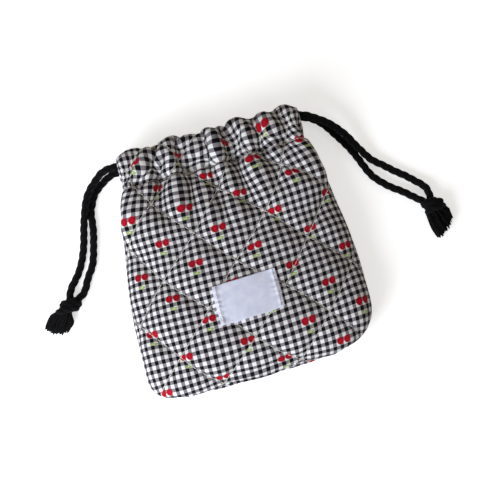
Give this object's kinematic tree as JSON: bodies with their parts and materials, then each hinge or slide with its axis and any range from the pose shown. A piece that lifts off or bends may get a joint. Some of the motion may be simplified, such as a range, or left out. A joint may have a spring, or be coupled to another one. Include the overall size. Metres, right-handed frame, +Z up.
{
  "type": "drawstring pouch",
  "caption": "Quilted gingham cotton pouch lying flat, gathered at the mouth by two black rope drawcords that end in knots and frayed tassels.",
  "frame": {"origin": "on the surface that the pouch lies on, under the middle of the pouch's own box, with the free cords left out", "axes": "+Z up from the surface, out of the pouch's front; +Y along the pouch towards its mouth; +X to the right seen from above"},
  "size_m": [0.3225, 0.195, 0.0368],
  "materials": {
    "quilted_cotton": "matte",
    "satin_label": "satin",
    "cotton_cord": "matte",
    "sewing_thread": "matte"
  },
  "bodies": {
    "root": {"quilted_body": "quilted_cotton", "front_label": "satin_label", "left_tunnel_cord": "cotton_cord", "left_front_tail": "cotton_cord", "left_back_tail": "cotton_cord", "left_knot": "cotton_cord", "left_tassel": "cotton_cord", "right_tunnel_cord": "cotton_cord", "right_front_tail": "cotton_cord", "right_back_tail": "cotton_cord", "right_knot": "cotton_cord", "right_tassel": "cotton_cord"}
  },
  "joints": []
}
